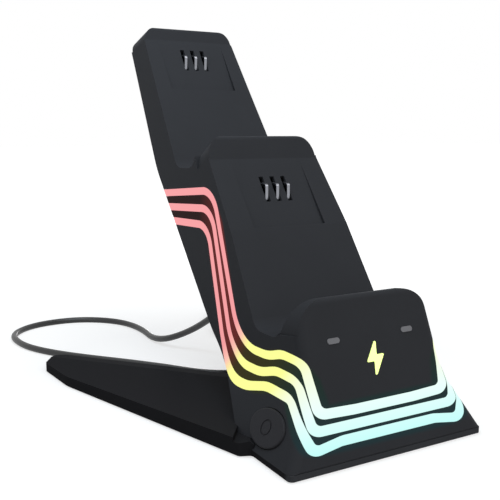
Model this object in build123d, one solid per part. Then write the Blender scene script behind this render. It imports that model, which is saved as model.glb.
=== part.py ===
"""Charging dock for two game controllers: a stepped leaning housing on a swept base, with a lead.

Millimetres. X is the width seen from the front, Y runs from front to back and Z is up.
Sketch points are measured from the front edge and the ground. Every piece is moved by the same
amount when it is written, so that the dock without its lead stands centred over the origin.
"""
import os
from math import acos, atan2, cos, hypot, pi, radians, sin, tan

from build123d import *

# Walls and clearances
WALL = 2.6
GAP = 0.3
FIT = 0.1
SEAT = 0.05

# Alignments of blocks that grow upwards or downwards from their place
LOW = (Align.CENTER, Align.CENTER, Align.MIN)
HIGH = (Align.CENTER, Align.CENTER, Align.MAX)

# Side profile of the housing, as (y, z, corner radius)
BACK_Y = 200.2
TOP_Z = 178.0
SKIRT_Z = 3.0
LIP_FRONT = (21.2, 59.8, 2.4)
LIP_BACK = (26.4, 59.0, 2.4)
STEP_A = (73.0, 80.5, 1.0)
FOLD_A = (96.2, 110.0, 2.0)
CREST_A = (100.8, 121.5, 2.6)
REAR_A = (109.5, 116.5, 3.0)
STEP_B = (158.5, TOP_Z - 34.0, 1.0)
FOLD_B = (177.6, TOP_Z - 7.0, 2.0)
CREST_B = (180.0, TOP_Z, 2.0)
REAR_B = (BACK_Y, TOP_Z - 5.5, 2.5)
BACK_MID = (155.5, 103.5, 60.0)
BACK_LOW = (86.0, 34.0, 45.0)
PROFILE = [
    (0.0, SKIRT_Z, 0.5), LIP_FRONT, LIP_BACK, (31.5, 43.2, 6.0), (48.5, 43.2, 8.0),
    STEP_A, FOLD_A, CREST_A, REAR_A, (112.5, 105.5, 7.0), (130.5, 105.0, 9.0),
    STEP_B, FOLD_B, CREST_B, REAR_B, BACK_MID, BACK_LOW, (38.0, SKIRT_Z, 0.5)]

# Front outline of one half, as (x, z), and its roundings
FLARE_LOW = (49.7, -2.0)
FLARE_HIGH = (33.6, 26.0)
TOP_EDGE = (25.3, TOP_Z + 6.0)
FLARE_R = 32.0
FRONT_CORNER_R = 4.6
LIP_CORNER_R = 13.0
CREST_A_R = 11.0
CREST_B_R = 8.0

# Light stripes: the side run in the side view, as (y, z, corner radius), and the run round the front
# corner as (u, z, corner radius) in a view turned from the side view. The runs meet on a level stretch
STRIPE_W = 3.5
STRIPE_DEPTH = 1.2
CORNER_TURN = radians(55.0)
SIDE_RUNS = {
    "light_guide_upper": [(152.0, 91.2, 0), (91.0, 96.6, 15), (61.3, 34.2, 22),
                          (38.0, 35.0, 30), (28.0, 38.2, 20), (22.5, 38.2, 0)],
    "light_guide_middle": [(145.0, 85.0, 0), (91.8, 88.4, 14), (66.2, 26.8, 22),
                           (42.0, 27.4, 30), (31.0, 30.8, 20), (24.3, 30.8, 0)],
    "light_guide_lower": [(138.0, 78.8, 0), (94.8, 80.6, 13), (71.0, 19.6, 25),
                          (48.0, 20.4, 30), (35.0, 23.8, 24), (24.6, 23.8, 0)]}
CORNER_RUNS = {
    "light_guide_upper": [(-40.1, 38.2, 0), (-34.6, 38.2, 5), (-28.6, 20.4, 4.5), (-15.0, 19.8, 20),
                          (0.0, 19.8, 0)],
    "light_guide_middle": [(-42.0, 30.8, 0), (-36.6, 30.8, 4.5), (-30.3, 15.0, 4.5), (0.0, 15.0, 0)],
    "light_guide_lower": [(-44.4, 23.8, 0), (-39.4, 23.8, 3), (-30.2, 8.6, 4), (-20.0, 10.4, 9),
                          (0.0, 10.4, 0)]}
PEGS = {"light_guide_upper": (79.5, 72.5), "light_guide_middle": (82.5, 63.0),
        "light_guide_lower": (86.5, 52.0)}
PEG_R = 1.2

# Cradle panels and spring contacts
POCKET_HALF = 18.7
POCKET_DEPTH = 1.5
POCKET_EDGE = 0.6
CONTACT_PITCH = 5.8
SLOT_W = 2.3
SLOT_HALF = 6.6
FINGER_W = 1.4
FINGER_T = 0.5
FINGER = [(-5.4, -6.4, 0), (-5.0, -2.4, 1.2), (0.6, 2.0, 1.0), (3.8, -1.4, 0)]
CARRIER_W = 20.0
CARRIER_H = 16.4
CARRIER_T = 6.0
CARRIER_BACK = 1.2

# Side button and its switch
BUTTON_Y = 23.5
BUTTON_Z = 11.8
BUTTON_LONG = 11.2
BUTTON_HIGH = 7.4
BUTTON_RISE = 0.9
BUTTON_TRAVEL = 0.8
EAR_T = 0.9
EAR_OUT = 1.3
STEM_L = 0.9
SWITCH = 6.0
SWITCH_H = 3.0
SWITCH_BOARD = -(WALL + GAP + EAR_T + STEM_L + BUTTON_TRAVEL + SWITCH_H + 0.2)

# Front lights
STATUS_X = 17.9
STATUS_Z = 44.4
STATUS_W = 5.6
STATUS_H = 2.2
EMBLEM_Z = 36.0
BOLT = [(1.6, 7.6), (-4.4, -1.2), (-0.7, -1.2), (-1.6, -7.6), (4.4, 1.2), (0.7, 1.2)]

# Base: one half of its outline, as (x, y, corner radius)
BASE_LIFT = 0.5
BASE_TOP = 7.8
BASE_SLOPE = 0.018
BASE_OUTLINE = [(46.5, 0.4, 2.0), (46.5, 27.0, 2.0), (51.2, 29.0, 2.0), (84.6, 141.0, 30.0),
                (87.2, 170.0, 6.0), (76.0, 189.0, 5.0), (14.0, 110.0, 3.0)]
NOTCH_Y = 90.0
FAR_BEVEL = 10.0
FAR_DROP = 1.4
FOOT_DEEP = 0.8

# Back cover, boards and screws
COVER_W = 40.0
COVER_H = 60.0
COVER_S = 42.0
BOARD_DEEP = 14.0
COVER_T = 1.6
BOARD_T = 1.6
SCREW_R = 1.2
SCREW_HEAD_R = 2.2

# Lead
CORD_D = 3.6
GLAND_S = 32.0
GLAND_LEN = 12.0
COIL_R = 18.0
COIL_T = 5.0
COIL_AT = (42.0, 184.5)
COIL_END = 21.2
PLUG_TURN = -30.0
PLUG_W = 15.5
PLUG_L = 26.0
PLUG_H = 8.0
USB_W = 12.0
USB_H = 4.5
USB_L = 18.8

LEAN = atan2(LIP_FRONT[0], LIP_FRONT[1] - SKIRT_Z)
TILT = atan2(FLARE_LOW[0] - FLARE_HIGH[0], FLARE_HIGH[1] - FLARE_LOW[1])
TAPER = (FLARE_HIGH[0] - TOP_EDGE[0]) / (TOP_EDGE[1] - FLARE_HIGH[1])


def flare_x(z):
    """Half width of the skirt's flat part at a height."""
    return FLARE_LOW[0] - (z - FLARE_LOW[1]) * tan(TILT)


def upper_x(z):
    """Half width of the housing above the skirt at a height."""
    return FLARE_HIGH[0] - (z - FLARE_HIGH[1]) * TAPER


def front_y(z):
    """Place of the front face at a height."""
    return (z - SKIRT_Z) * tan(LEAN)


def slope_plane(low, high, outward):
    """Plane at the low end of a sloping side line: Y runs up the slope, Z points out of the housing."""
    run = hypot(high[0] - low[0], high[1] - low[1])
    up = Vector(0, (high[0] - low[0]) / run, (high[1] - low[1]) / run)
    out = Vector(0, -up.Z, up.Y) * outward
    return Plane(origin=(0, low[0], low[1]), x_dir=up.cross(out), z_dir=out), run


PANEL_A, RUN_A = slope_plane(STEP_A, FOLD_A, 1)
PANEL_B, RUN_B = slope_plane(STEP_B, FOLD_B, 1)
FRONT = slope_plane((0.0, SKIRT_Z), LIP_FRONT, 1)[0]
BACK = slope_plane(BACK_LOW, BACK_MID, -1)[0]
BUTTON = Plane(origin=(-flare_x(BUTTON_Z), BUTTON_Y, BUTTON_Z), x_dir=(0, 1, 0),
               z_dir=(-cos(TILT), 0, sin(TILT)))
CORNER = Plane(origin=(0, 30.0, 0), x_dir=(sin(CORNER_TURN), -cos(CORNER_TURN), 0),
               z_dir=(-cos(CORNER_TURN), -sin(CORNER_TURN), 0))
CONTACT_V = {"lower": (PANEL_A, 0.56 * RUN_A), "upper": (PANEL_B, 0.62 * RUN_B)}


def rounded_line(points, close):
    """Line through corner points given as (u, v, radius), with its corners rounded."""
    radii = [p[2] for p in points] if close else [p[2] for p in points[1:-1]]
    return FilletPolyline(*[(p[0], p[1]) for p in points], radius=radii, close=close)


def joined(pieces):
    """Several pieces as one shape."""
    return pieces[0] + pieces[1:]


def both_sides(solid):
    """A piece and its mirror image on the other side of the dock."""
    return solid + mirror(solid, Plane.YZ)


def envelope(inset):
    """Leaning wedge with the front outline and rounded front corners, moved inwards by the inset."""
    half = [FLARE_LOW, FLARE_HIGH, TOP_EDGE]
    ring = [(x - inset, z) for x, z in half] + [(inset - x, z) for x, z in reversed(half)]
    face = make_face(Polyline(*ring, close=True))
    waist = [v for v in face.vertices() if abs(v.Y - FLARE_HIGH[1]) < 0.1]
    along = extrude(Plane.XZ * fillet(waist, FLARE_R), 260, both=True)
    low = FLARE_LOW[1]
    high = TOP_EDGE[1]
    shift = inset / cos(LEAN)
    foot = (front_y(low) + shift, low)
    side = Polyline(foot, (front_y(high) + shift, high), (240, high), (240, low), close=True)
    solid = extrude(Plane.YZ * make_face(side), 70, both=True) & along
    out = Vector(0, -cos(LEAN), sin(LEAN))
    face = [f for f in solid.faces() if f.geom_type == GeomType.PLANE and f.normal_at().dot(out) > 0.999][0]
    return fillet([e for e in face.edges() if abs(e.center().X) > 15], FRONT_CORNER_R - inset)


def block(inset):
    """Solid stepped block of the housing, moved inwards by the inset."""
    face = Plane.YZ * make_face(rounded_line(PROFILE, True))
    if inset:
        face = offset(face, -inset)
    return extrude(face, 70, both=True) & envelope(inset)


def crest_cut(top, rear, radius, deep, inset):
    """Pair of corner pieces that round the upper corners of a crest, seen along its top."""
    plane = Plane(origin=(0, top[0], top[1]), x_dir=(1, 0, 0), z_dir=(0, top[0] - rear[0], top[1] - rear[1]))
    corner = Rectangle(30, 30, align=(Align.MIN, Align.MIN)) - Circle(radius - inset)
    right = Pos(upper_x(top[1]) - radius, -radius, 0) * extrude(corner, deep, both=True)
    return plane * both_sides(right)


def panel_pocket(plane, run):
    """Shallow pocket of a cradle panel that runs out towards the crest above it."""
    high = run - POCKET_EDGE
    side = Polyline((POCKET_EDGE, 3.0), (POCKET_EDGE, -POCKET_DEPTH), (high, 0.1), (high, 3.0), close=True)
    return plane * extrude(Plane.YZ * make_face(side), POCKET_HALF, both=True)


def stripe(name, width, skin):
    """Stripe along both sides of the housing and round its front."""
    side = extrude(Plane.YZ * trace(rounded_line(SIDE_RUNS[name], False), width), 70, both=True) & skin
    start = CORNER.origin.Y * cos(CORNER_TURN)
    line = [(u + start, z, r) for u, z, r in CORNER_RUNS[name]]
    band = CORNER * extrude(trace(rounded_line(line, False), width), 60)
    half = band & skin & (Pos(0.2, 0, 0) * Box(80, 200, 200, align=(Align.MAX, Align.CENTER, Align.CENTER)))
    return side + both_sides(half)


def peg(spot, radius, skin):
    """Pair of short pegs across the side walls at one place of the side view."""
    return Pos(0, spot[0], spot[1]) * Rot(0, 90, 0) * Cylinder(radius, 140) & skin


def finger_face():
    """Bent spring strip of a contact in the side view of its panel."""
    return trace(rounded_line(FINGER, False), FINGER_T)


def contact(level, column):
    """One spring contact in its slot."""
    plane, v = CONTACT_V[level]
    strip = extrude(Plane.YZ * finger_face(), FINGER_W / 2, both=True)
    return plane * (Pos(column * CONTACT_PITCH, v, 0) * strip)


def slots(level, deep, width):
    """Three slots of a cradle panel, as deep as stated."""
    plane, v = CONTACT_V[level]
    row = [Pos(i * CONTACT_PITCH, v, 0) * Box(width, 2 * SLOT_HALF, 2 * deep) for i in (-1, 0, 1)]
    return plane * joined(row)


def carrier(level):
    """Block behind a cradle panel that guides the contacts."""
    plane, v = CONTACT_V[level]
    body = Pos(0, v, -WALL - SEAT) * Box(CARRIER_W, CARRIER_H, CARRIER_T, align=HIGH)
    return plane * body - slots(level, WALL + SEAT + CARRIER_T - CARRIER_BACK, SLOT_W)


def button_oval(grow, top, deep):
    """Oval block on the button's axis, from its top downwards."""
    return Pos(0, 0, top) * extrude(Ellipse(BUTTON_LONG + grow, BUTTON_HIGH + grow), -deep)


def button_cap():
    """Oval side button with a ring cut in its face, ears behind the wall and a stem."""
    rim = BUTTON_RISE + 2.0
    cap = button_oval(0.0, BUTTON_RISE, rim)
    cap = fillet(cap.faces().sort_by(Axis.Z)[-1].edges(), 0.6)
    ring = Pos(0, 0, BUTTON_RISE) * (Cylinder(3.2, 0.6) - Cylinder(2.5, 0.6))
    under = -WALL - GAP
    ears = Box(BUTTON_LONG + EAR_OUT, 5.0, EAR_T, align=(Align.MIN, Align.CENTER, Align.MAX))
    ears = ears + Box(5.0, BUTTON_HIGH + EAR_OUT, EAR_T, align=(Align.CENTER, Align.MAX, Align.MAX))
    ears = Pos(0, 0, under) * ears
    neck = Pos(0, 0, BUTTON_RISE - rim) * Cylinder(4.0, WALL + GAP + EAR_T - 2.0, align=HIGH)
    stem = Pos(0, 0, under - EAR_T) * Cylinder(1.5, STEM_L, align=HIGH)
    return BUTTON * (cap - ring + neck + ears + stem)


def button_switch():
    """Push switch on its board, one travel and a gap below the button's stem."""
    return BUTTON * (Pos(0, 0, SWITCH_BOARD + SEAT) * Box(SWITCH, SWITCH, SWITCH_H, align=LOW))


def button_board():
    """Small board that carries the push switch."""
    return BUTTON * (Pos(2.0, -4.5, SWITCH_BOARD) * Box(18, 15.8, 1.2, align=HIGH))


def front_lens(face, deep):
    """Clear lens in the front wall, cut to a flat shape and slightly proud of the wall."""
    return FRONT * (Pos(0, 0, 0.25) * extrude(face, -deep - 0.25))


def status_face(sign, grow):
    """Lozenge of a status light."""
    u = sign * STATUS_X
    v = (STATUS_Z - SKIRT_Z) / cos(LEAN)
    return Pos(u, v) * SlotOverall(STATUS_W + 2 * grow, STATUS_H + 2 * grow)


def emblem_face(grow):
    """Plain bolt shape of the charge light."""
    v = (EMBLEM_Z - SKIRT_Z) / cos(LEAN)
    face = make_face(Polyline(*BOLT, close=True))
    face = fillet(face.vertices(), 0.4)
    return Pos(0, v) * (offset(face, grow) if grow else face)


def front_board():
    """Light board behind the front wall."""
    v = (EMBLEM_Z + 3.0 - SKIRT_Z) / cos(LEAN)
    return FRONT * (Pos(0, v, -WALL - 3.0) * Box(46, 18, 1.2, align=HIGH))


def front_leds():
    """Chips on the front light board below the lenses."""
    spots = [(-STATUS_X, STATUS_Z), (STATUS_X, STATUS_Z), (0.0, EMBLEM_Z + 3.0), (0.0, EMBLEM_Z - 3.0)]
    chips = [Pos(u, (z - SKIRT_Z) / cos(LEAN), -WALL - 3.0 + SEAT) * Box(3.0, 1.6, 0.8, align=LOW)
             for u, z in spots]
    return FRONT * joined(chips)


def side_board(sign):
    """Light board inside one side wall."""
    return Pos(sign * 25.6, 86.0, 62.0) * Box(1.2, 17.0, 30.0)


def side_leds():
    """Chips on the side boards in front of the pegs."""
    chips = []
    for sign in (-1, 1):
        for y, z in PEGS.values():
            chips.append(Pos(sign * (26.2 + SEAT + 0.4), y, z) * Box(0.8, 1.6, 3.0))
    return joined(chips)


def boss_blocks():
    """Four blocks inside the skirt that take the base screws."""
    front = Pos(28.0, 8.0, SKIRT_Z + 6.5) * Box(5.4, 13.0, 13.0)
    rear = Pos(24.0, 37.5, SKIRT_Z + 6.0) * Box(7.0, 13.0, 12.0)
    return both_sides(front + rear)


def posts():
    """Posts that carry the light boards and the switch board."""
    v = (EMBLEM_Z - 3.0 - SKIRT_Z) / cos(LEAN)
    front = [FRONT * (Pos(u, v, SEAT - WALL - 3.0) * Cylinder(1.6, 4.0, align=LOW)) for u in (-21.0, 21.0)]
    sides = [Pos(26.2 + SEAT, y, z) * Rot(0, 90, 0) * Cylinder(1.4, 8.0, align=LOW)
             for y, z in ((93.0, 74.5), (79.5, 49.5))]
    switch = [BUTTON * (Pos(u, v, SWITCH_BOARD + SEAT) * Cylinder(1.3, 8.0, align=LOW))
              for u, v in ((-5.0, -10.6), (9.0, -10.6))]
    return joined(front + switch) + both_sides(joined(sides))


SCREW_SPOTS = [(-28.0, 10.0), (28.0, 10.0), (-24.0, 36.0), (24.0, 36.0)]
COVER_U = COVER_W / 2 - 4
COVER_V = COVER_H / 2 - 4
COVER_SPOTS = [(u, COVER_S + v) for u in (-COVER_U, COVER_U) for v in (-COVER_V, COVER_V)]


def base_screws(grow):
    """Screws from below through the base into the housing's blocks."""
    out = []
    for x, y in SCREW_SPOTS:
        shank = Pos(x, y, BASE_LIFT + 0.9) * Cylinder(SCREW_R + grow, 9.0, align=LOW)
        head = Cylinder(SCREW_HEAD_R + grow, 0.7 + 5 * grow, align=LOW)
        head = Pos(x, y, BASE_LIFT + 0.3 - 4 * grow) * head
        out.append(shank + head)
    return out


def cover_screws(grow):
    """Screws of the back cover."""
    out = []
    for u, v in COVER_SPOTS:
        shank = Pos(u, v, -0.8) * Cylinder(SCREW_R + grow, 5.2, align=HIGH)
        head = Pos(u, v, -0.2 + 4 * grow) * Cylinder(SCREW_HEAD_R + grow, 0.7 + 5 * grow, align=HIGH)
        out.append(BACK * (shank + head))
    return out


def back_opening(grow, deep, shrink):
    """Rounded plate shape on the back slope."""
    face = RectangleRounded(COVER_W + 2 * grow - 2 * shrink, COVER_H + 2 * grow - 2 * shrink, 4.0)
    return BACK * (Pos(0, COVER_S, 0) * extrude(face, -deep))


def cover_bosses():
    """Blocks behind the back wall for the cover's screws."""
    tall = BOARD_DEEP - COVER_T - 2 * SEAT
    rods = [Pos(u, v, -COVER_T - SEAT) * Cylinder(3.0, tall, align=HIGH) for u, v in COVER_SPOTS]
    return BACK * joined(rods)


def gland_body(grow):
    """Strain relief in the back cover: a collar inside, a neck in the hole and a tapered sleeve outside."""
    neck = Pos(0, GLAND_S, 0.5) * Cylinder(3.6 + grow, COVER_T + 2.0, align=HIGH)
    if grow:
        return BACK * neck
    collar = Pos(0, GLAND_S, -COVER_T - SEAT) * Cylinder(5.0, 1.6, align=HIGH)
    flange = Pos(0, GLAND_S, SEAT) * Cylinder(5.0, 1.2, align=LOW)
    sleeve = Pos(0, GLAND_S, 1.2) * Cone(3.9, 2.6, GLAND_LEN - 1.2, align=LOW)
    bore = Pos(0, GLAND_S, GLAND_LEN) * Cylinder(CORD_D / 2 + SEAT, 6.0, align=HIGH)
    return BACK * (neck + collar + flange + sleeve - bore)


def base_solid():
    """Swept two-legged base plate, cut to lie round the foot of the housing."""
    half = BASE_OUTLINE + [(0.0, NOTCH_Y, 8.0)]
    ring = half + [(-x, y, r) for x, y, r in reversed(BASE_OUTLINE)]
    plate = Pos(0, 0, BASE_LIFT) * extrude(make_face(rounded_line(ring, True)), BASE_TOP + 2)
    top = Polyline((0, BASE_TOP), (240, BASE_TOP - 240 * BASE_SLOPE), (240, 40), (0, 40), close=True)
    plate = plate - extrude(Plane.YZ * make_face(top), 120, both=True)
    return plate - both_sides(far_bevel())


def far_bevel():
    """Long wedge that slopes the top of one leg down towards its inner edge."""
    tip = BASE_OUTLINE[-2]
    root = BASE_OUTLINE[-1]
    run = hypot(tip[0] - root[0], tip[1] - root[1])
    along = Vector((tip[0] - root[0]) / run, (tip[1] - root[1]) / run, 0)
    inner = Vector(-along.Y, along.X, 0)
    z_root = BASE_TOP - BASE_SLOPE * root[1]
    z_tip = BASE_TOP - BASE_SLOPE * tip[1]
    pitch = (z_tip - z_root) / run
    plane = Plane(origin=(root[0], root[1], z_root), x_dir=inner, z_dir=(along.X, along.Y, pitch))
    drop = FAR_DROP * (FAR_BEVEL + 4.0) / FAR_BEVEL
    wedge = Polyline((-FAR_BEVEL, 0), (4.0, -drop), (4.0, 8.0), (-FAR_BEVEL, 8.0), close=True)
    return plane * extrude(make_face(wedge), run + 60, both=True)


def foot_pads(grow):
    """Rubber pads under the front edge and under the ends of the legs."""
    tall = BASE_LIFT + FOOT_DEEP
    front = Pos(0, 10.0, 0) * extrude(SlotOverall(44 + 2 * grow, 7 + 2 * grow), tall)
    rear = Pos(78.0, 160.0, 0) * Rot(0, 0, 98) * extrude(SlotOverall(26 + 2 * grow, 7 + 2 * grow), tall)
    return {"foot_pad_front": front, "foot_pad_right": rear, "foot_pad_left": mirror(rear, Plane.YZ)}


def main_board():
    """Charging circuit board behind the lower cradle."""
    return BACK * (Pos(0, COVER_S, -BOARD_DEEP) * Box(COVER_W, COVER_H, BOARD_T, align=HIGH))


def board_parts():
    """Coil, capacitors and chips of the circuit board."""
    top = SEAT - BOARD_DEEP
    parts = [Pos(-8, 52, top) * Box(8, 8, 1.2, align=LOW), Pos(8, 54, top) * Box(7, 7, 3.2, align=LOW),
             Pos(10, 38, top) * Cylinder(3.2, 7.0, align=LOW),
             Pos(-10, 36, top) * Cylinder(3.2, 7.0, align=LOW),
             Pos(0, 62, top) * Box(14, 5, 4.0, align=LOW), Pos(0, 45, top) * Box(5, 5, 1.0, align=LOW)]
    return BACK * joined(parts)


def cord_points():
    """Corner points of the lead, from the strain relief to the coil."""
    start = BACK.from_local_coords(Vector(0, GLAND_S, GLAND_LEN - 6.0 + SEAT))
    turn = BACK.from_local_coords(Vector(0, GLAND_S, GLAND_LEN + 20.0))
    floor = [(-18, 187), (-14, 222), (-21, 247), (-42, 264), (-70, 263), (-88, 246), (-88, 222), (-81, 203),
             (-66, 181), (-39, 150), (-14, 114), (10, 116), (24, 140), (24.1, 169)]
    lead = [(start.X, start.Y, start.Z), (turn.X, turn.Y, turn.Z), (-5, 163, 13.0)]
    return lead + [(x, y, CORD_D / 2) for x, y in floor]


def cord_radii(points):
    """Bend radii that leave a straight stretch between neighbouring bends."""
    out = []
    for a, b, c in zip(points, points[1:], points[2:]):
        one = Vector(*b) - Vector(*a)
        two = Vector(*c) - Vector(*b)
        turn = acos(max(-1.0, min(1.0, one.dot(two) / one.length / two.length)))
        out.append(0.45 * min(one.length, two.length) / tan(turn / 2))
    return out


def cord_tube():
    """Round lead swept along its path."""
    points = cord_points()
    radii = cord_radii(points)
    path = FilletPolyline(*points, radius=radii)
    tube = sweep(Plane(origin=path @ 0, z_dir=path % 0) * Circle(CORD_D / 2), path)
    share = tube.volume / (pi * CORD_D ** 2 / 4 * path.length)
    print("lead: bend radii", [round(r, 1) for r in radii])
    print("lead: length", round(path.length, 1), "volume over section times length", round(share, 4))
    return tube


def coil_end(along):
    """Place on the straight end of the lead, which leaves the ring at a tangent."""
    return Pos(COIL_AT[0], COIL_AT[1], PLUG_H / 2) * Rot(0, 0, PLUG_TURN) * Pos(-COIL_R, along, 0)


def cord_coil():
    """Spare lead as one rounded ring with the straight end that goes into the plug."""
    ring = Pos(COIL_AT[0], COIL_AT[1], COIL_T) * Torus(COIL_R, COIL_T)
    return ring + coil_end(0) * Rot(-90, 0, 0) * Cylinder(CORD_D / 2, COIL_END - SEAT, align=LOW)


def plug():
    """Plug at the lead's far end: a moulded grip, a metal shell and the tongue inside it."""
    low = (Align.CENTER, Align.MIN, Align.CENTER)
    grip = fillet(Box(PLUG_W, PLUG_L, PLUG_H, align=low).edges().filter_by(Axis.Y), 2.0)
    hollow = Pos(0, 1.0, 0) * Box(USB_W - 0.7, USB_L, USB_H - 0.7, align=low)
    shell = Box(USB_W, USB_L, USB_H, align=low) - hollow
    tongue = Pos(0, 1.0 + SEAT, 0.75) * Box(USB_W - 1.4, USB_L - 2.0, 1.8, align=low)
    place = coil_end(COIL_END)
    ahead = coil_end(COIL_END + PLUG_L + SEAT)
    return {"plug_grip": place * grip, "plug_shell": ahead * shell, "plug_tongue": ahead * tongue}


def guide(name, width, deep, peg_r, peg_end):
    """Light stripe with the pegs that lead light to it through the side walls."""
    ribbon = stripe(name, width, envelope(0) - envelope(deep)) & block(0)
    pins = peg(PEGS[name], peg_r, envelope(deep - 0.2) - envelope(peg_end))
    return ribbon + pins


def crested(inset):
    """Stepped block with the corners of its three crests rounded."""
    solid = block(inset) - crest_cut(CREST_A, REAR_A, CREST_A_R, 14, inset)
    solid = solid - crest_cut(CREST_B, REAR_B, CREST_B_R, 32, inset)
    return solid - crest_cut(LIP_FRONT, LIP_BACK, LIP_CORNER_R, 12, inset)


def housing():
    """Hollow stepped housing with every cut for the pieces that sit in it."""
    solid = crested(0)
    solid = solid - panel_pocket(PANEL_A, RUN_A)
    solid = solid - panel_pocket(PANEL_B, RUN_B)
    mouth = Pos(0, 16.0, SKIRT_Z) * Box(120, 40.0, 10.0)
    shell = solid - crested(WALL) - (envelope(WALL) & mouth)
    shell = shell + ((boss_blocks() + cover_bosses() + posts()) & block(0.4))
    for name in SIDE_RUNS:
        shell = shell - guide(name, STRIPE_W, STRIPE_DEPTH, PEG_R + FIT, WALL + 1.0)
    for level in CONTACT_V:
        shell = shell - slots(level, 1.5 * WALL, SLOT_W)
    shell = shell - BUTTON * button_oval(GAP, 4.0, 8.0)
    for face in (status_face(-1, SEAT), status_face(1, SEAT), emblem_face(SEAT)):
        shell = shell - front_lens(face, WALL + 2.0)
    shell = shell - back_opening(FIT, COVER_T + SEAT, 0.0) - back_opening(0.0, WALL + 6.0, 7.0)
    for screw in base_screws(SEAT) + cover_screws(SEAT):
        shell = shell - screw
    return shell


def base():
    """Base plate with pockets for its pads and holes for its screws."""
    solid = base_solid() - block(-FIT) - BUTTON * button_oval(2 * GAP, 6.0, 12.0)
    front = 2 * (BASE_OUTLINE[1][1] - 1.0)
    solid = solid - Pos(0, 0, SKIRT_Z - FIT) * Box(120, front, BASE_TOP, align=LOW)
    for pad in foot_pads(FIT).values():
        solid = solid - pad
    for screw in base_screws(FIT):
        solid = solid - screw
    return solid


def cover():
    """Back cover with holes for its screws and the strain relief."""
    solid = back_opening(0.0, COVER_T, 0.0) - gland_body(FIT)
    for screw in cover_screws(FIT):
        solid = solid - screw
    return solid


NODES = {"housing": housing(), "back_cover": cover(), "base": base()}
NODES.update(foot_pads(0.0))
for stripe_name in SIDE_RUNS:
    NODES[stripe_name] = guide(stripe_name, STRIPE_W - FIT, STRIPE_DEPTH - SEAT, PEG_R, WALL + 0.6)
NODES["led_board_left"] = side_board(-1)
NODES["led_board_right"] = side_board(1)
NODES["side_leds"] = side_leds()
NODES["front_board"] = front_board()
NODES["front_leds"] = front_leds()
NODES["status_lens_left"] = front_lens(status_face(-1, 0.0), WALL + 0.4)
NODES["status_lens_right"] = front_lens(status_face(1, 0.0), WALL + 0.4)
NODES["emblem_lens"] = front_lens(emblem_face(0.0), WALL + 0.4)
NODES["mode_button"] = button_cap()
NODES["button_switch"] = button_switch()
NODES["button_board"] = button_board()
for row in CONTACT_V:
    NODES["contact_carrier_" + row] = carrier(row)
    for column, side in ((-1, "left"), (0, "middle"), (1, "right")):
        NODES["contact_" + row + "_" + side] = contact(row, column)
NODES["main_board"] = main_board()
NODES["board_parts"] = board_parts()
NODES["base_screws"] = joined(base_screws(0.0))
NODES["cover_screws"] = joined(cover_screws(0.0))
NODES["cable_gland"] = gland_body(0.0)
LEAD = {"cord": cord_tube(), "cord_coil": cord_coil()}
LEAD.update(plug())

box = NODES["housing"].bounding_box()
MOVE = Pos(0, -(box.min.Y + box.max.Y) / 2, 0)
os.makedirs("parts", exist_ok=True)
for node, solid in {**NODES, **LEAD}.items():
    export_step(MOVE * solid, "parts/" + node + ".step")
    print(node, len(solid.solids()), solid.is_valid, round(solid.volume, 1))
print("moved by", MOVE.position)
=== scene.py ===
"""Looks of the controller charging dock, laid out as a Blender add-on and run as a script."""
from math import acos, cos, pi, radians, sin, tan

import bmesh
import bpy
from bpy.props import FloatProperty, FloatVectorProperty, IntProperty, PointerProperty
from mathutils import Matrix, Vector


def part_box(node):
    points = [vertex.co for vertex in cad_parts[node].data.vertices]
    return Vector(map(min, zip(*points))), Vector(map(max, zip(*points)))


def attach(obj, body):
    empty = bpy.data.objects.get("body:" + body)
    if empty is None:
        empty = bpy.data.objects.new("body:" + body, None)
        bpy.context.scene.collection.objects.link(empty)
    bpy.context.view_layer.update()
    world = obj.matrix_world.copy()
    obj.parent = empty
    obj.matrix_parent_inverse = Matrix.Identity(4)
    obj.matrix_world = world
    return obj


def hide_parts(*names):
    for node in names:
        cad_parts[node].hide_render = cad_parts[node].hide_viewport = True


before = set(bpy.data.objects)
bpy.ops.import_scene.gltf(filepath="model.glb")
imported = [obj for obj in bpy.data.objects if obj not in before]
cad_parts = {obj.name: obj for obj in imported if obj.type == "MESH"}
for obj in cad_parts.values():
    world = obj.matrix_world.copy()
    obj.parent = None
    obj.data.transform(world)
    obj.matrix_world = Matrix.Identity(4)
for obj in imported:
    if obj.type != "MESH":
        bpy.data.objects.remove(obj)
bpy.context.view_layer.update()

bl_info = {
    "name": "Controller charging dock",
    "version": (1, 0, 0),
    "blender": (4, 5, 0),
    "location": "View3D > Sidebar > Dock",
    "description": "Finishes, lead and stage of a controller charging dock",
    "category": "Object",
}

FRONT_EDGE = -0.09948
LIGHT_GUIDES = ("light_guide_upper", "light_guide_middle", "light_guide_lower")
CONTACTS = [f"contact_{level}_{side}" for level in ("lower", "upper") for side in ("left", "middle", "right")]

# Line of the middle stripe as (place, height, bend radius) in millimetres: along the side from the front
# edge, and round the front corner in a view turned by CORNER_TURN
SIDE_LINE = [
    (145.0, 85.0, 0), (91.8, 88.4, 14), (66.2, 26.8, 22), (42.0, 27.4, 30), (31.0, 30.8, 20), (22.0, 30.8, 0)]
CORNER_LINE = [(-42.0, 30.8, 0), (-36.6, 30.8, 4.5), (-30.3, 15.0, 4.5), (-2.0, 15.0, 0)]
CORNER_TURN = radians(55.0)

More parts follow.
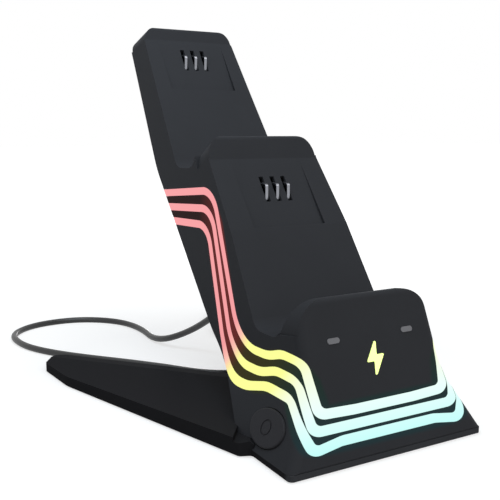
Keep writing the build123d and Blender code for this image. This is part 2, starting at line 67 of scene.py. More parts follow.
# Corner points of the lead in metres, from the strain relief to the coil
LEAD_ROUTE = [
    (0.0, 0.01342, 0.05235), (0.0, 0.03177, 0.0340), (-0.005, 0.06352, 0.0130), (-0.018, 0.08752, 0.0018),
    (-0.014, 0.12252, 0.0018), (-0.021, 0.14752, 0.0018), (-0.042, 0.16452, 0.0018), (-0.070, 0.16352, 0.0018),
    (-0.088, 0.14652, 0.0018), (-0.088, 0.12252, 0.0018), (-0.081, 0.10352, 0.0018), (-0.066, 0.08152, 0.0018),
    (-0.039, 0.05052, 0.0018), (-0.014, 0.01452, 0.0018), (0.010, 0.01652, 0.0018), (0.0215, 0.0409, 0.0018),
    (0.0204, 0.0679, 0.0018)]

# Coil: its centre, the middle radius of its turns, all turns, the turns on the floor, the share of a turn in
# which the lead climbs, its height above the floor turns and how far the top turn opens
COIL_CENTRE = Vector((0.042, 0.08502, 0.0))
COIL_MIDDLE = 0.018
COIL_TURNS = 3.0 + 1.0 / 12.0
FLOOR_TURNS = 2.0
CLIMB_TURN = 0.35
CLIMB = 0.0036
TOP_SPREAD = 0.0034

# Plug: its turn, the way from the coil to its sleeve and the points in between as (way, rise)
PLUG_TURN = radians(-30.0)
COIL_END = 0.0212
LEAD_IN = ((0.006, 0.0012), (0.014, 0.0))

# Tie of the coil: its place round the coil, its height and the half axes of its loop
TIE_TURN = radians(-60.0)
TIE_HEIGHT = 0.0043
TIE_HALF = (0.0066, 0.0042)

# Share of the way along the stripes gained by a metre of depth and of height
SHARE_DEPTH = 8.06
SHARE_HEIGHT = 5.91

# Painted glow on the housing in millimetres: where the corner line gives way to the side line, where the painted
# light fades towards the back, what is left of it there, and the distance from the middle stripe over which it
# ends
GLOW_CORNER = (22.0, 26.0)
GLOW_REAR = (84.0, 104.0)
GLOW_LEFT = 0.12
GLOW_EDGE = (7.0, 9.3)

# Depth in metres over which the base turns from the painted light on its front rim to its own tone
LIT_RIM_FADE = (0.0025, 0.0045)

# Camera of the photograph
CAMERA_PLACE = (-0.1821, -0.3082, 0.122)
CAMERA_TURN = (radians(90.0 - 8.835), 0.0, radians(-29.735))


def srgb(red, green, blue):
    """Linear colour of a display colour given in steps of 255."""
    out = []
    for step in (red, green, blue):
        share = step / 255.0
        out.append(share / 12.92 if share <= 0.04045 else ((share + 0.055) / 1.055) ** 2.4)
    return tuple(out)


def colour_property(name, description, default):
    """Colour that a user can change in the panel."""
    return FloatVectorProperty(name=name, description=description, default=default, subtype="COLOR", size=3,
                               min=0.0, max=1.0)


class DockFinish(bpy.types.PropertyGroup):
    """Colours of the dock's finishes, with the painted light on the base's front rim."""
    shell: colour_property("Shell", "Matte plastic of the housing", srgb(47, 48, 51))
    base: colour_property("Base", "Matte plastic of the swept base", srgb(33, 33, 35))
    # Rim is painted light: a lighter tone for the light falling on the base's front face.
    rim: colour_property("Rim", "Front rim of the base", srgb(60, 61, 64))
    button: colour_property("Button", "Plastic of the push button", srgb(47, 47, 50))
    carrier: colour_property("Carrier", "Plastic behind the contact slots", srgb(14, 14, 15))
    rubber: colour_property("Rubber", "Lead, strain relief and pads", srgb(34, 34, 36))
    stripe_back: colour_property("Stripe back", "Lit stripe on the rear run", srgb(240, 147, 150))
    stripe_turn: colour_property("Stripe turn", "Lit stripe above the ledge", srgb(247, 186, 168))
    stripe_ledge: colour_property("Stripe ledge", "Lit stripe along the ledge", srgb(247, 251, 142))
    stripe_corner: colour_property("Stripe corner", "Lit stripe on the corner", srgb(241, 252, 216))
    stripe_front: colour_property("Stripe front", "Lit stripe across the front", srgb(229, 252, 245))
    stripe_low: colour_property("Stripe low", "Lit stripe at the foot", srgb(188, 247, 244))
    emblem: colour_property("Emblem", "Lit charging bolt", srgb(231, 252, 150))
    status: colour_property("Status lens", "Unlit lens of a status light", srgb(118, 118, 121))
    board: colour_property("Board", "Lacquer of the circuit boards", srgb(22, 72, 44))
    contact: colour_property("Contacts", "Plated spring contacts", srgb(135, 137, 143))
    insert: colour_property("Plug insert", "Plastic tongue of the plug", srgb(230, 230, 232))
    steel: colour_property("Steel", "Screws and plug shell", srgb(205, 207, 212))


class DockLead(bpy.types.PropertyGroup):
    """Sizes of the lead."""
    diameter: FloatProperty(name="Diameter", description="Diameter of the lead",
                            default=0.0036, unit="LENGTH")
    length: FloatProperty(name="Length", description="Real length of the lead", default=0.83, unit="LENGTH")
    ring: FloatProperty(name="Ring", description="Radius of the outer turn of the coil",
                        default=0.0216, unit="LENGTH")
    steps: IntProperty(name="Steps", description="Points in one turn of the coil", default=12, min=8)


class DockStage(bpy.types.PropertyGroup):
    """Stage, lamps and camera."""
    floor: colour_property("Floor", "Pale floor", srgb(178, 178, 178))
    lift: FloatProperty(name="Floor lift", description="White that the floor adds to its own tone near the dock",
                        default=0.66)
    lens: FloatProperty(name="Lens", description="Focal length on a 36 mm wide picture", default=54.4)
    key: FloatProperty(name="Key light", description="Power of the large soft lamp",
                       default=6.8, unit="POWER")
    top: FloatProperty(name="Top light", description="Power of the small lamp above",
                       default=0.7, unit="POWER")
    cool: colour_property("Top tint", "Cool tint of the small lamp above", (0.78, 0.9, 1.0))
    side: FloatProperty(name="Side light", description="Power of the low lamp on the left",
                        default=1.0, unit="POWER")
    back: FloatProperty(name="Back light", description="Power of the lamp behind the dock",
                        default=0.5, unit="POWER")
    sky: FloatProperty(name="Sky", description="Strength of the even light from all round", default=0.25)


def fresh_material(name):
    """Empty material with its output, ready for nodes."""
    material = bpy.data.materials.new(name)
    material.use_nodes = True
    material.node_tree.nodes.clear()
    return material


def node(tree, kind, **values):
    """New node with its settings."""
    made = tree.nodes.new(kind)
    for key, value in values.items():
        setattr(made, key, value)
    return made


def math_node(tree, operation, first, second=0.0):
    """Math node between sockets or plain numbers."""
    made = node(tree, "ShaderNodeMath", operation=operation)
    for socket, value in zip(made.inputs, (first, second)):
        if isinstance(value, (int, float)):
            socket.default_value = value
        else:
            tree.links.new(value, socket)
    return made.outputs[0]


def map_range(tree, value, span, ends, **settings):
    """Value carried from one span to other ends."""
    made = node(tree, "ShaderNodeMapRange", **settings)
    tree.links.new(value, made.inputs["Value"])
    for label, number in zip(("From Min", "From Max", "To Min", "To Max"), (*span, *ends)):
        made.inputs[label].default_value = number
    return made.outputs[0]


def seen_rays(tree):
    """One for rays from the camera, a reflection or a transmission, and else nothing."""
    path = node(tree, "ShaderNodeLightPath")
    seen = math_node(tree, "MAXIMUM", path.outputs["Is Camera Ray"], path.outputs["Is Glossy Ray"])
    return math_node(tree, "MAXIMUM", seen, path.outputs["Is Transmission Ray"])


def ramp(tree, factor, stops):
    """Colour ramp over a factor, with stops as (place, colour)."""
    made = node(tree, "ShaderNodeValToRGB")
    elements = made.color_ramp.elements
    while len(elements) < len(stops):
        elements.new(0.5)
    for element, (place, colour) in zip(elements, stops):
        element.position = place
        element.color = (*colour, 1.0)
    tree.links.new(factor, made.inputs["Fac"])
    return made.outputs["Color"]


def new_group(name, inputs, outputs):
    """Shader node group with named sockets, and its two ends."""
    group = bpy.data.node_groups.new(name, "ShaderNodeTree")
    for label, kind, default in inputs:
        socket = group.interface.new_socket(name=label, in_out="INPUT", socket_type=kind)
        socket.default_value = default
    for label, kind in outputs:
        group.interface.new_socket(name=label, in_out="OUTPUT", socket_type=kind)
    return group, node(group, "NodeGroupInput"), node(group, "NodeGroupOutput")


def grain_group():
    """Fine moulded grain: a height, a roughness and a tone that vary over the surface."""
    group, start, end = new_group(
        "Moulded grain",
        [("Grain", "NodeSocketFloat", 2600.0), ("Clouds", "NodeSocketFloat", 38.0),
         ("Rough", "NodeSocketFloat", 0.5), ("Spread", "NodeSocketFloat", 0.1)],
        [("Height", "NodeSocketFloat"), ("Roughness", "NodeSocketFloat"), ("Tone", "NodeSocketFloat")])
    place = node(group, "ShaderNodeTexCoord")
    fine = node(group, "ShaderNodeTexNoise")
    fine.inputs["Detail"].default_value = 3.0
    cloud = node(group, "ShaderNodeTexNoise")
    cloud.inputs["Detail"].default_value = 4.0
    for texture, label in ((fine, "Grain"), (cloud, "Clouds")):
        group.links.new(place.outputs["Object"], texture.inputs["Vector"])
        group.links.new(start.outputs[label], texture.inputs["Scale"])
    group.links.new(fine.outputs["Fac"], end.inputs["Height"])
    centred = math_node(group, "SUBTRACT", cloud.outputs["Fac"], 0.5)
    swing = math_node(group, "MULTIPLY", centred, start.outputs["Spread"])
    group.links.new(math_node(group, "ADD", start.outputs["Rough"], swing), end.inputs["Roughness"])
    tone = math_node(group, "ADD", 0.88, math_node(group, "MULTIPLY", cloud.outputs["Fac"], 0.24))
    group.links.new(tone, end.inputs["Tone"])
    return group


def stripe_place_group():
    """Share of the way along the light stripes, from the foot (0) to the rear run (1)."""
    group, start, end = new_group("Stripe place", [], [("Share", "NodeSocketFloat")])
    place = node(group, "ShaderNodeTexCoord")
    parts = node(group, "ShaderNodeSeparateXYZ")
    group.links.new(place.outputs["Object"], parts.inputs[0])
    depth = math_node(group, "SUBTRACT", parts.outputs["Y"], FRONT_EDGE)
    along = math_node(group, "MULTIPLY", depth, SHARE_DEPTH)
    share = math_node(group, "ADD", along, math_node(group, "MULTIPLY", parts.outputs["Z"], SHARE_HEIGHT))
    group.links.new(share, end.inputs["Share"])
    return group


def run_group():
    """Distance from a point to one straight run between two points of a plane."""
    group, start, end = new_group(
        "Run distance",
        [("Point", "NodeSocketVector", (0, 0, 0)), ("From", "NodeSocketVector", (0, 0, 0)),
         ("Run", "NodeSocketVector", (0, 0, 0)), ("Square", "NodeSocketFloat", 1.0)],
        [("Distance", "NodeSocketFloat")])
    away = node(group, "ShaderNodeVectorMath", operation="SUBTRACT")
    group.links.new(start.outputs["Point"], away.inputs[0])
    group.links.new(start.outputs["From"], away.inputs[1])
    dot = node(group, "ShaderNodeVectorMath", operation="DOT_PRODUCT")
    group.links.new(away.outputs[0], dot.inputs[0])
    group.links.new(start.outputs["Run"], dot.inputs[1])
    share = node(group, "ShaderNodeMath", operation="DIVIDE", use_clamp=True)
    group.links.new(dot.outputs["Value"], share.inputs[0])
    group.links.new(start.outputs["Square"], share.inputs[1])
    foot = node(group, "ShaderNodeVectorMath", operation="SCALE")
    group.links.new(start.outputs["Run"], foot.inputs[0])
    group.links.new(share.outputs[0], foot.inputs["Scale"])
    gap = node(group, "ShaderNodeVectorMath", operation="DISTANCE")
    group.links.new(away.outputs[0], gap.inputs[0])
    group.links.new(foot.outputs[0], gap.inputs[1])
    group.links.new(gap.outputs["Value"], end.inputs["Distance"])
    return group


def bent_line(points):
    """Points along a line whose corners are rounded, with three points in each bend."""
    out = [Vector(points[0][:2])]
    for before, corner, after in zip(points, points[1:], points[2:]):
        here = Vector(corner[:2])
        one = (Vector(before[:2]) - here).normalized()
        two = (Vector(after[:2]) - here).normalized()
        half = acos(max(-1.0, min(1.0, one.dot(two)))) / 2
        reach = corner[2] / tan(half)
        middle = (one + two).normalized() * (corner[2] / sin(half) - corner[2])
        out += [here + one * reach, here + middle, here + two * reach]
    return out + [Vector(points[-1][:2])]


def line_distance(tree, run, point, points):
    """Least distance from a point to the runs of a line given in millimetres."""
    least = None
    for a, b in zip(points, points[1:]):
        part = node(tree, "ShaderNodeGroup", node_tree=run)
        step = b - a
        part.inputs["From"].default_value = (a.x, a.y, 0)
        part.inputs["Run"].default_value = (step.x, step.y, 0)
        part.inputs["Square"].default_value = step.length_squared
        tree.links.new(point, part.inputs["Point"])
        least = part.outputs[0] if least is None else math_node(tree, "MINIMUM", least, part.outputs[0])
    return least


def painted_glow_group(run):
    """Mask of the dark strip between the light stripes, and of the painted light from the stripes on it."""
    group, start, end = new_group(
        "Stripe glow", [], [("Mask", "NodeSocketFloat"), ("Light", "NodeSocketFloat")])
    place = node(group, "ShaderNodeTexCoord")
    parts = node(group, "ShaderNodeSeparateXYZ")
    group.links.new(place.outputs["Object"], parts.inputs[0])
    across = math_node(group, "MULTIPLY", math_node(group, "ABSOLUTE", parts.outputs["X"]), -1000.0)
    depth = math_node(group, "MULTIPLY", math_node(group, "SUBTRACT", parts.outputs["Y"], FRONT_EDGE), 1000.0)
    height = math_node(group, "MULTIPLY", parts.outputs["Z"], 1000.0)
    turned = math_node(group, "SUBTRACT", math_node(group, "MULTIPLY", across, sin(CORNER_TURN)),
                       math_node(group, "MULTIPLY", depth, cos(CORNER_TURN)))
    reach = []
    for first, line in ((depth, SIDE_LINE), (turned, CORNER_LINE)):
        point = node(group, "ShaderNodeCombineXYZ")
        group.links.new(first, point.inputs[0])
        group.links.new(height, point.inputs[1])
        reach.append(line_distance(group, run, point.outputs[0], bent_line(line)))
    corner = map_range(group, depth, GLOW_CORNER, (0.0, 1.0))
    mixed = node(group, "ShaderNodeMix", data_type="FLOAT")
    group.links.new(corner, mixed.inputs["Factor"])
    group.links.new(reach[1], mixed.inputs["A"])
    group.links.new(reach[0], mixed.inputs["B"])
    rear = map_range(group, depth, GLOW_REAR, (1.0, GLOW_LEFT))
    fade = map_range(group, mixed.outputs["Result"], GLOW_EDGE, (1.0, 0.0), interpolation_type="SMOOTHERSTEP")
    group.links.new(fade, end.inputs["Mask"])
    group.links.new(math_node(group, "MULTIPLY", fade, rear), end.inputs["Light"])
    return group


def plastic(name, colour, rough, grain, depth, groups, lit=False, shine=0.05):
    """Moulded matte plastic with a fine grain; where lit, painted light from the stripes is added as emission
    and the strip between them turns near black.
    """
    material = fresh_material(name)
    tree = material.node_tree
    out = node(tree, "ShaderNodeOutputMaterial")
    shader = node(tree, "ShaderNodeBsdfPrincipled")
    shader.inputs["Specular IOR Level"].default_value = shine
    tree.links.new(shader.outputs[0], out.inputs["Surface"])
    mould = node(tree, "ShaderNodeGroup", node_tree=groups["grain"])
    mould.inputs["Grain"].default_value = grain
    mould.inputs["Rough"].default_value = rough
    tint = node(tree, "ShaderNodeMix", data_type="RGBA", blend_type="MULTIPLY")
    tint.inputs["Factor"].default_value = 1.0
    tint.inputs["A"].default_value = (*colour, 1.0)
    tree.links.new(mould.outputs["Tone"], tint.inputs["B"])
    surface = tint.outputs["Result"]
    tree.links.new(mould.outputs["Roughness"], shader.inputs["Roughness"])
    bump = node(tree, "ShaderNodeBump")
    bump.inputs["Strength"].default_value = depth
    bump.inputs["Distance"].default_value = 0.0001
    tree.links.new(mould.outputs["Height"], bump.inputs["Height"])
    tree.links.new(bump.outputs["Normal"], shader.inputs["Normal"])
    # Painted light: the stripes' glow on the housing is emission coloured along the stripes, over a base
    # darkened to near black between them.
    if lit:
        glow = node(tree, "ShaderNodeGroup", node_tree=groups["glow"])
        share = node(tree, "ShaderNodeGroup", node_tree=groups["place"])
        stops = [(0.10, srgb(26, 46, 50)), (0.30, srgb(24, 42, 34)), (0.50, srgb(46, 46, 18)),
                 (0.64, srgb(52, 44, 18)), (0.74, srgb(96, 32, 30))]
        hue = ramp(tree, share.outputs["Share"], stops)
        painted_spill = node(tree, "ShaderNodeMix", data_type="RGBA")
        painted_spill.inputs["A"].default_value = (0.0, 0.0, 0.0, 1.0)
        tree.links.new(glow.outputs["Light"], painted_spill.inputs["Factor"])
        shade = node(tree, "ShaderNodeMix", data_type="RGBA")
        shade.inputs["B"].default_value = (0.004, 0.004, 0.004, 1.0)
        tree.links.new(glow.outputs["Mask"], shade.inputs["Factor"])
        tree.links.new(tint.outputs["Result"], shade.inputs["A"])
        surface = shade.outputs["Result"]
        tree.links.new(hue, painted_spill.inputs["B"])
        tree.links.new(painted_spill.outputs["Result"], shader.inputs["Emission Color"])
        shader.inputs["Emission Strength"].default_value = 1.0
    tree.links.new(surface, shader.inputs["Base Color"])
    return material


def principled(material):
    """Surface shader of a material."""
    return next(n for n in material.node_tree.nodes if n.type == "BSDF_PRINCIPLED")


def painted_front_light(material, colour):
    """Paints light on the front rim of a plastic piece: a lighter colour there stands for the light falling on
    it.
    """
    tree = material.node_tree
    tint = next(n for n in tree.nodes if n.type == "MIX")
    place = node(tree, "ShaderNodeTexCoord")
    parts = node(tree, "ShaderNodeSeparateXYZ")
    tree.links.new(place.outputs["Object"], parts.inputs[0])
    depth = math_node(tree, "SUBTRACT", parts.outputs["Y"], FRONT_EDGE)
    share = map_range(tree, depth, LIT_RIM_FADE, (0.0, 1.0))
    tone = ramp(tree, share, [(0.0, colour), (1.0, tint.inputs["A"].default_value[:3])])
    tree.links.new(tone, tint.inputs["A"])


def lit_stripe(name, finish, groups):
    """Milky light guide whose colour runs from pink at the back to pale cyan at the foot."""
    material = fresh_material(name)
    tree = material.node_tree
    out = node(tree, "ShaderNodeOutputMaterial")
    shader = node(tree, "ShaderNodeBsdfPrincipled")
    tree.links.new(shader.outputs[0], out.inputs["Surface"])
    share = node(tree, "ShaderNodeGroup", node_tree=groups["place"])
    stops = [(0.06, finish.stripe_low), (0.19, finish.stripe_front), (0.30, finish.stripe_corner),
             (0.40, finish.stripe_ledge), (0.64, finish.stripe_ledge), (0.71, finish.stripe_turn),
             (0.78, finish.stripe_back)]
    colour = ramp(tree, share.outputs["Share"], stops)
    shader.inputs["Base Color"].default_value = (0.015, 0.015, 0.015, 1.0)
    mould = node(tree, "ShaderNodeGroup", node_tree=groups["grain"])
    mould.inputs["Rough"].default_value = 0.55
    dim = node(tree, "ShaderNodeMix", data_type="RGBA", blend_type="MULTIPLY")
    dim.inputs["Factor"].default_value = 0.12
    tree.links.new(colour, dim.inputs["A"])
    tree.links.new(mould.outputs["Tone"], dim.inputs["B"])
    tree.links.new(mould.outputs["Roughness"], shader.inputs["Roughness"])
    tree.links.new(dim.outputs["Result"], shader.inputs["Emission Color"])
    shader.inputs["Emission Strength"].default_value = 1.0
    return material


def lens(name, colour, strength, groups):
    """Milky lens, lit from behind by the strength given."""
    material = plastic(name, colour, 0.35, 1800.0, 0.05, groups)
    shader = principled(material)
    shader.inputs["Emission Color"].default_value = (*colour, 1.0)
    shader.inputs["Emission Strength"].default_value = strength
    return material


def metal(name, colour, rough, groups):
    """Plated metal with a faint drawn grain."""
    material = plastic(name, colour, rough, 900.0, 0.08, groups, shine=0.5)
    shader = principled(material)
    shader.inputs["Metallic"].default_value = 1.0
    return material


def dress(material, *names):
    """Gives the material to CAD nodes."""
    for name in names:
        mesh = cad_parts[name].data
        mesh.materials.clear()
        mesh.materials.append(material)


def place_mesh(name, mesh, material):
    """New piece of the dock's body from a finished bmesh."""
    data = bpy.data.meshes.new(name)
    bmesh.ops.recalc_face_normals(mesh, faces=mesh.faces)
    mesh.to_mesh(data)
    mesh.free()
    for face in data.polygons:
        face.use_smooth = True
    data.materials.append(material)
    piece = bpy.data.objects.new(name, data)
    bpy.context.scene.collection.objects.link(piece)
    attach(piece, "dock")


class DOCK_OT_finishes(bpy.types.Operator):
    """Makes the finishes and gives them to the CAD pieces."""
    bl_idname = "dock.finishes"
    bl_label = "Finishes"

    def execute(self, context):
        """Builds the shared groups once and dresses every node."""
        finish = context.scene.dock_finish
        run = run_group()
        groups = {"grain": grain_group(), "place": stripe_place_group(), "glow": painted_glow_group(run)}
        dress(plastic("shell_plastic", finish.shell, 0.65, 2600.0, 0.25, groups, lit=True), "housing")
        dress(plastic("cover_plastic", finish.shell, 0.65, 2600.0, 0.25, groups), "back_cover")
        base = plastic("base_plastic", finish.base, 0.85, 2400.0, 0.25, groups, shine=0.02)
        # The base's front rim gets a lighter tone as painted light.
        painted_front_light(base, finish.rim)
        dress(base, "base")
        dress(plastic("button_plastic", finish.button, 0.45, 2600.0, 0.2, groups), "mode_button")
        dress(plastic("carrier_plastic", finish.carrier, 0.6, 2600.0, 0.2, groups), "contact_carrier_lower",
              "contact_carrier_upper")
        dress(plastic("pad_rubber", finish.rubber, 0.8, 1500.0, 0.5, groups), "foot_pad_front", "foot_pad_left",
              "foot_pad_right")
        dress(plastic("lead_rubber", finish.rubber, 0.42, 1500.0, 0.2, groups), "cable_gland", "cord",
              "cord_coil", "plug_grip")
        dress(plastic("board_lacquer", finish.board, 0.3, 700.0, 0.2, groups), "main_board", "front_board",
              "button_board", "led_board_left", "led_board_right")
        dress(plastic("board_parts", finish.carrier, 0.4, 900.0, 0.2, groups), "board_parts", "button_switch",
              "side_leds", "front_leds")
        dress(lit_stripe("light_guide", finish, groups), *LIGHT_GUIDES)
        dress(lens("emblem_lens", finish.emblem, 1.0, groups), "emblem_lens")
        dress(lens("status_lens", finish.status, 0.0, groups), "status_lens_left", "status_lens_right")
        dress(metal("contact_steel", finish.contact, 0.3, groups), *CONTACTS)
        dress(metal("screw_steel", finish.steel, 0.4, groups), "base_screws", "cover_screws")
        dress(metal("plug_steel", finish.steel, 0.25, groups), "plug_shell")
        dress(plastic("plug_insert", finish.insert, 0.4, 1500.0, 0.1, groups), "plug_tongue")
        return {"FINISHED"}


def coil_points(lead):
    """Turns of the coil: inwards on the floor, then a climb and a turn outwards on top."""
    points = []
    for step in range(1, int(COIL_TURNS * lead.steps) + 1):
        turn = step / lead.steps
        radius = lead.ring - lead.diameter * min(turn, FLOOR_TURNS)
        height = lead.diameter / 2
        if turn > FLOOR_TURNS:
            radius += TOP_SPREAD * (turn - FLOOR_TURNS)
            height += CLIMB * min(1.0, (turn - FLOOR_TURNS) / CLIMB_TURN)
        angle = pi - 2 * pi * turn
        spread = radius / cos(pi / lead.steps)
        points.append(COIL_CENTRE + Vector((spread * cos(angle), spread * sin(angle), height)))
    return points


def plug_axes():
    """Where the lead leaves the coil, the way to the plug and the way out of the coil."""
    low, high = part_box("plug_grip")
    along = Vector((-sin(PLUG_TURN), cos(PLUG_TURN), 0))
    out = Vector((cos(PLUG_TURN), sin(PLUG_TURN), 0))
    leave = COIL_CENTRE - out * COIL_MIDDLE + Vector((0, 0, (low.z + high.z) / 2))
    return leave, along, out


def spun(outline, axis, steps):
    """Closed ring spun from a closed outline of points."""
    mesh = bmesh.new()
    verts = [mesh.verts.new(point) for point in outline]
    edges = [mesh.edges.new(pair) for pair in zip(verts, verts[1:] + verts[:1])]
    bmesh.ops.spin(mesh, geom=verts + edges, axis=axis, cent=(0, 0, 0), steps=steps, angle=2 * pi,
                   use_merge=True)
    bmesh.ops.remove_doubles(mesh, verts=mesh.verts, dist=1e-6)
    return mesh


class DOCK_OT_sleeve(bpy.types.Operator):
    """Makes the tapered, ribbed strain relief where the lead goes into the plug."""
    bl_idname = "dock.sleeve"
    bl_label = "Plug sleeve"

    def execute(self, context):
        """Spins the ribbed outline round the plug's axis."""
        leave, along, out = plug_axes()
        outline = [(0.0019, -0.011), (0.0024, -0.011)]
        for rib in range(4):
            start = -0.0100 + rib * 0.0024
            wide = 0.0025 + rib * 0.0002
            slim = wide - 0.0004
            outline += [(wide, start), (wide, start + 0.0014), (slim, start + 0.0016), (slim, start + 0.0022)]
        outline += [(0.0033, 0.0), (0.0019, 0.0)]
        mesh = spun([out * radius + along * place for radius, place in outline], along, 24)
        bmesh.ops.translate(mesh, verts=mesh.verts, vec=leave + along * COIL_END)
        place_mesh("plug_sleeve", mesh, bpy.data.materials["lead_rubber"])
        return {"FINISHED"}


class DOCK_OT_tie(bpy.types.Operator):
    """Makes the flat band that holds the turns of the coil."""
    bl_idname = "dock.tie"
    bl_label = "Lead tie"

    def execute(self, context):
        """Spins a flat band, draws it oval and sets it round the turns."""
        corners = [(0.95, 0, -0.0022), (1.0, 0, -0.0022), (1.0, 0, 0.0022), (0.95, 0, 0.0022)]
        mesh = spun(corners, (0, 0, 1), 32)
        bmesh.ops.scale(mesh, verts=mesh.verts, vec=(*TIE_HALF, 1.0))
        turn = Matrix.Rotation(TIE_TURN, 4, "Z") @ Matrix.Rotation(radians(90.0), 4, "X")
        bmesh.ops.transform(mesh, matrix=turn, verts=mesh.verts)
        reach = Vector((cos(TIE_TURN), sin(TIE_TURN), 0)) * COIL_MIDDLE
        bmesh.ops.translate(mesh, verts=mesh.verts, vec=COIL_CENTRE + reach + Vector((0, 0, TIE_HEIGHT)))
        place_mesh("lead_tie", mesh, bpy.data.materials["lead_rubber"])
        return {"FINISHED"}


class DOCK_OT_lead(bpy.types.Operator):
    """Makes the lead with its coil, which the sleeve and the tie go with."""
    bl_idname = "dock.lead"
    bl_label = "Lead"

    def execute(self, context):
        lead = context.scene.dock_lead
        leave, along, out = plug_axes()
        points = [Vector(p) for p in LEAD_ROUTE] + coil_points(lead)
        points += [leave + along * way + Vector((0, 0, rise)) for way, rise in LEAD_IN]
        points.append(leave + along * (COIL_END + 0.001))
        curve = bpy.data.curves.new("lead", "CURVE")
        curve.dimensions = "3D"
        spline = curve.splines.new("NURBS")
        spline.points.add(len(points) - 1)
        for point, place in zip(spline.points, points):
            point.co = (*place, 1.0)
        spline.order_u = 3
        spline.use_endpoint_u = True
        spline.resolution_u = 6
        curve.bevel_depth = lead.diameter / 2
        curve.bevel_resolution = 4
        curve.use_fill_caps = True
        curve.materials.append(bpy.data.materials["lead_rubber"])
        flex = bpy.data.objects.new("lead", curve)
        context.scene.collection.objects.link(flex)
        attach(flex, "dock")
        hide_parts("cord", "cord_coil")
        return {"FINISHED"}


def soft_lamp(name, place, aim, size, power, tint=(1.0, 1.0, 1.0)):
    """Square area lamp that looks at a point."""
    data = bpy.data.lights.new(name, "AREA")
    data.energy = power
    data.color = tint
    data.size = size
    lamp = bpy.data.objects.new(name, data)
    lamp.location = place
    lamp.rotation_euler = (Vector(aim) - Vector(place)).to_track_quat("-Z", "Y").to_euler()
    bpy.context.scene.collection.objects.link(lamp)


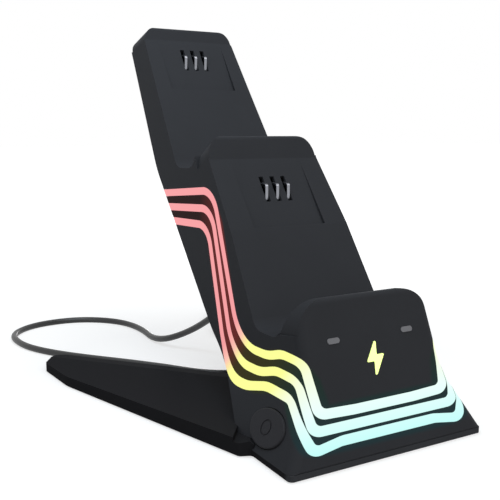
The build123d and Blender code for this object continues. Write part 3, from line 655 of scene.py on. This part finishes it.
class DOCK_OT_stage(bpy.types.Operator):
    """Makes the floor, the lamps, the sky and the camera."""
    bl_idname = "dock.stage"
    bl_label = "Stage"

    def execute(self, context):
        """Sets the plain pale stage and the view of the photograph."""
        stage = context.scene.dock_stage
        self.floor(stage)
        self.sky(stage)
        aim = (0.0, 0.0, 0.07)
        soft_lamp("key_lamp", (0.25, -0.85, 0.85), aim, 0.8, stage.key)
        soft_lamp("top_lamp", (-0.1, 0.0, 0.4), (0.0, 0.04, 0.14), 0.2, stage.top, stage.cool)
        soft_lamp("back_lamp", (0.35, 0.7, 0.06), (0.0, 0.0, 0.1), 0.1, stage.back)
        soft_lamp("side_lamp", (-0.7, -0.45, 0.12), aim, 0.4, stage.side)
        camera = bpy.data.objects.new("camera", bpy.data.cameras.new("camera"))
        camera.data.lens = stage.lens
        camera.data.sensor_width = 36.0
        camera.data.clip_start = 0.01
        camera.location = CAMERA_PLACE
        camera.rotation_euler = CAMERA_TURN
        context.scene.collection.objects.link(camera)
        context.scene.camera = camera
        context.scene.view_settings.view_transform = "Standard"
        return {"FINISHED"}

    def floor(self, stage):
        """Large pale floor that keeps a faint shadow and turns white farther out."""
        mesh = bmesh.new()
        bmesh.ops.create_grid(mesh, x_segments=1, y_segments=1, size=6.0)
        data = bpy.data.meshes.new("floor")
        mesh.to_mesh(data)
        mesh.free()
        floor = bpy.data.objects.new("floor", data)
        bpy.context.scene.collection.objects.link(floor)
        material = fresh_material("floor")
        tree = material.node_tree
        out = node(tree, "ShaderNodeOutputMaterial")
        pale = node(tree, "ShaderNodeBsdfDiffuse")
        pale.inputs["Color"].default_value = (*stage.floor, 1.0)
        white = node(tree, "ShaderNodeEmission")
        white.inputs["Color"].default_value = (1.0, 1.0, 1.0, 1.0)
        place = node(tree, "ShaderNodeTexCoord")
        away = node(tree, "ShaderNodeVectorMath", operation="LENGTH")
        tree.links.new(place.outputs["Object"], away.inputs[0])
        lift = map_range(tree, away.outputs["Value"], (0.12, 0.4), (stage.lift, 1.0))
        tree.links.new(math_node(tree, "MULTIPLY", seen_rays(tree), lift), white.inputs["Strength"])
        both = node(tree, "ShaderNodeAddShader")
        tree.links.new(pale.outputs[0], both.inputs[0])
        tree.links.new(white.outputs[0], both.inputs[1])
        tree.links.new(both.outputs[0], out.inputs["Surface"])
        data.materials.append(material)

    def sky(self, stage):
        """Even light from all round, plain white where it is seen."""
        world = bpy.data.worlds.new("sky")
        world.use_nodes = True
        tree = world.node_tree
        tree.nodes.clear()
        out = node(tree, "ShaderNodeOutputWorld")
        even = node(tree, "ShaderNodeBackground")
        even.inputs["Color"].default_value = (1.0, 1.0, 1.0, 1.0)
        even.inputs["Strength"].default_value = stage.sky
        white = node(tree, "ShaderNodeBackground")
        white.inputs["Color"].default_value = (1.0, 1.0, 1.0, 1.0)
        mixed = node(tree, "ShaderNodeMixShader")
        tree.links.new(seen_rays(tree), mixed.inputs[0])
        tree.links.new(even.outputs[0], mixed.inputs[1])
        tree.links.new(white.outputs[0], mixed.inputs[2])
        tree.links.new(mixed.outputs[0], out.inputs["Surface"])
        bpy.context.scene.world = world


class DOCK_PT_panel(bpy.types.Panel):
    """Lists the steps and the values of the dock."""
    bl_label = "Charging dock"
    bl_idname = "DOCK_PT_panel"
    bl_space_type = "VIEW_3D"
    bl_region_type = "UI"
    bl_category = "Dock"

    def draw(self, context):
        """Shows a button for each step and the values below."""
        for step in STEPS:
            self.layout.operator(step.bl_idname)
        for group in (context.scene.dock_finish, context.scene.dock_lead, context.scene.dock_stage):
            for key in group.__annotations__:
                self.layout.prop(group, key)


STEPS = (DOCK_OT_finishes, DOCK_OT_sleeve, DOCK_OT_tie, DOCK_OT_lead, DOCK_OT_stage)
GROUPS = {"dock_finish": DockFinish, "dock_lead": DockLead, "dock_stage": DockStage}


def register():
    """Registers the classes and the scene's values."""
    for kind in (*GROUPS.values(), *STEPS, DOCK_PT_panel):
        bpy.utils.register_class(kind)
    for name, kind in GROUPS.items():
        setattr(bpy.types.Scene, name, PointerProperty(type=kind))


def unregister():
    """Removes what register added."""
    for name in GROUPS:
        delattr(bpy.types.Scene, name)
    for kind in reversed((*GROUPS.values(), *STEPS, DOCK_PT_panel)):
        bpy.utils.unregister_class(kind)


def main():
    """Builds the looks in order."""
    register()
    bpy.ops.dock.finishes()
    bpy.ops.dock.sleeve()
    bpy.ops.dock.tie()
    bpy.ops.dock.lead()
    bpy.ops.dock.stage()


if __name__ == "__main__":
    main()
